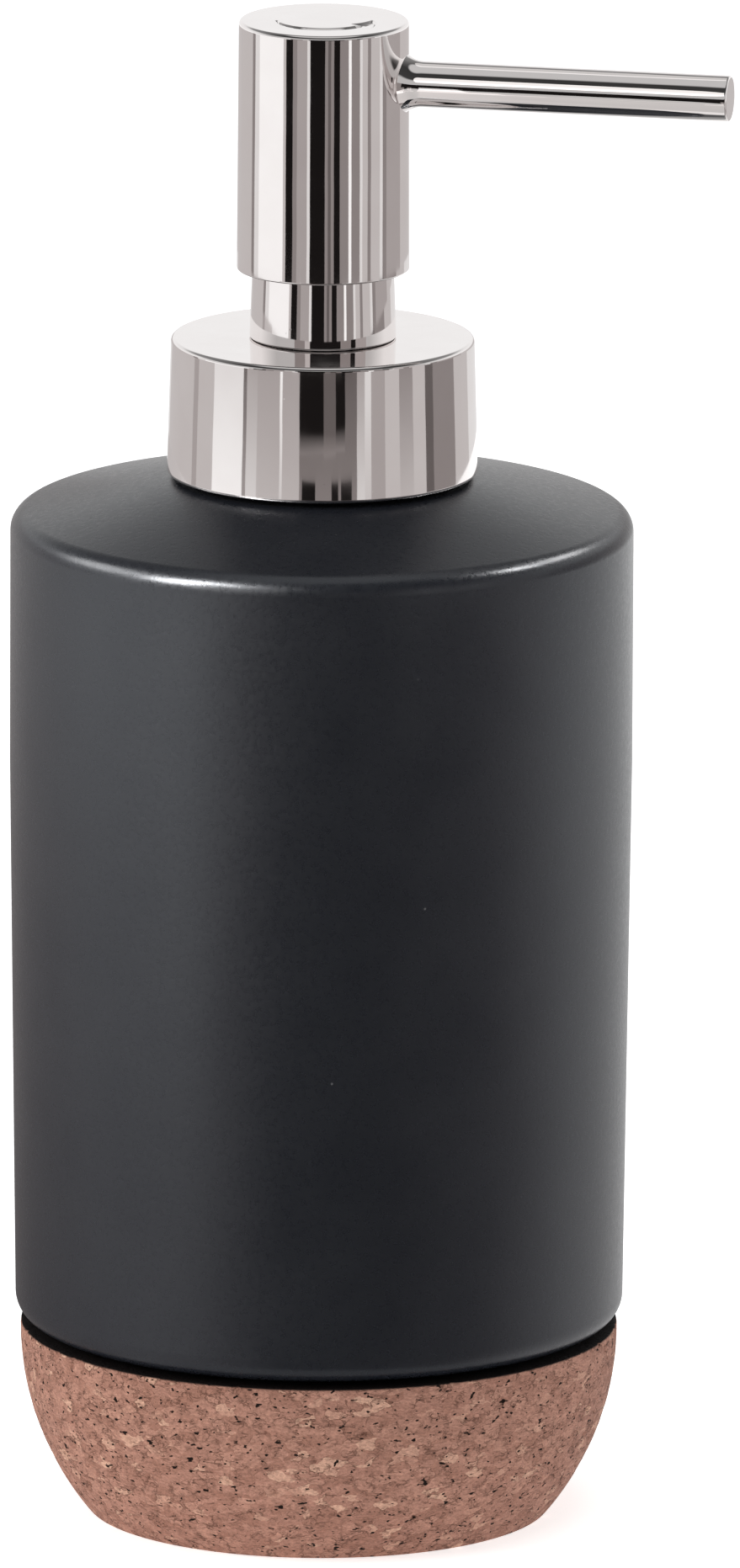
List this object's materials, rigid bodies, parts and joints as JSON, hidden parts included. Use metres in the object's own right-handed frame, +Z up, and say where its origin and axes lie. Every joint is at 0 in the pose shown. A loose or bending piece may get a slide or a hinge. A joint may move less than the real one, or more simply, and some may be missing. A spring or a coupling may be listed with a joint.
{
  "type": "soap pump dispenser",
  "caption": "Round matt stoneware soap bottle on a bowl-shaped cork base, with a chromed push-down pump, screw collar and straight spout.",
  "frame": {"origin": "centre of the cork base's flat underside", "axes": "+Z up along the bottle's axis, +X along the spout"},
  "size_m": [0.0849, 0.073, 0.1783],
  "materials": {
    "cork": "pressed cork granules, matt",
    "stoneware": "matt slate-grey glaze",
    "chrome": "mirror-bright plating",
    "black_plastic": "moulded polypropylene",
    "white_plastic": "moulded polypropylene",
    "clear_plastic": "natural, slightly milky polyethylene",
    "rubber": "soft grey sealing rubber",
    "steel": "stainless wire and ball",
    "adhesive": "cured glue layer"
  },
  "bodies": {
    "bottle": {"cork_base": "cork", "glue_disc": "adhesive", "ceramic_body": "stoneware", "neck_insert": "black_plastic"},
    "pump_unit": {"neck_gasket": "rubber", "pump_housing": "clear_plastic", "stem_guide": "white_plastic", "ball_retainer": "white_plastic", "dip_tube": "clear_plastic", "return_spring": "steel"},
    "closure": {"closure_nut": "black_plastic", "collar_shell": "chrome", "chimney_sleeve": "chrome"},
    "piston": {"piston_seal": "rubber"},
    "head": {"piston_rod": "white_plastic", "stem_tube": "white_plastic", "actuator_core": "white_plastic", "head_shell": "chrome", "nozzle_tube": "chrome", "nozzle_liner": "white_plastic"},
    "ball": {"inlet_ball": "steel"}
  },
  "joints": [
    {"name": "pump_lift", "type": "slide", "parent": "bottle", "child": "pump_unit", "axis": [0, 0, 1], "range_m": [0, 0.00635]},
    {"name": "closure_turn", "type": "hinge", "parent": "pump_unit", "child": "closure", "pos_m": [0, 0, 0.131], "axis": [0, 0, 1], "range_deg": [0, 540]},
    {"name": "pump_stroke", "type": "slide", "parent": "pump_unit", "child": "piston", "axis": [0, 0, -1], "range_m": [0, 0.0078], "stiffness_N_per_m": 900, "springref_m": -0.006, "deforming": ["return_spring"]},
    {"name": "head_swivel", "type": "hinge", "parent": "piston", "child": "head", "pos_m": [0, 0, 0.16], "axis": [0, 0, 1], "continuous": true},
    {"name": "ball_lift", "type": "slide", "parent": "pump_unit", "child": "ball", "axis": [0, 0, 1], "range_m": [0, 0.002]}
  ],
  "couplings": [
    {"joint": "closure_turn", "follows": "pump_lift", "rad_per_m": 1484.2}
  ]
}
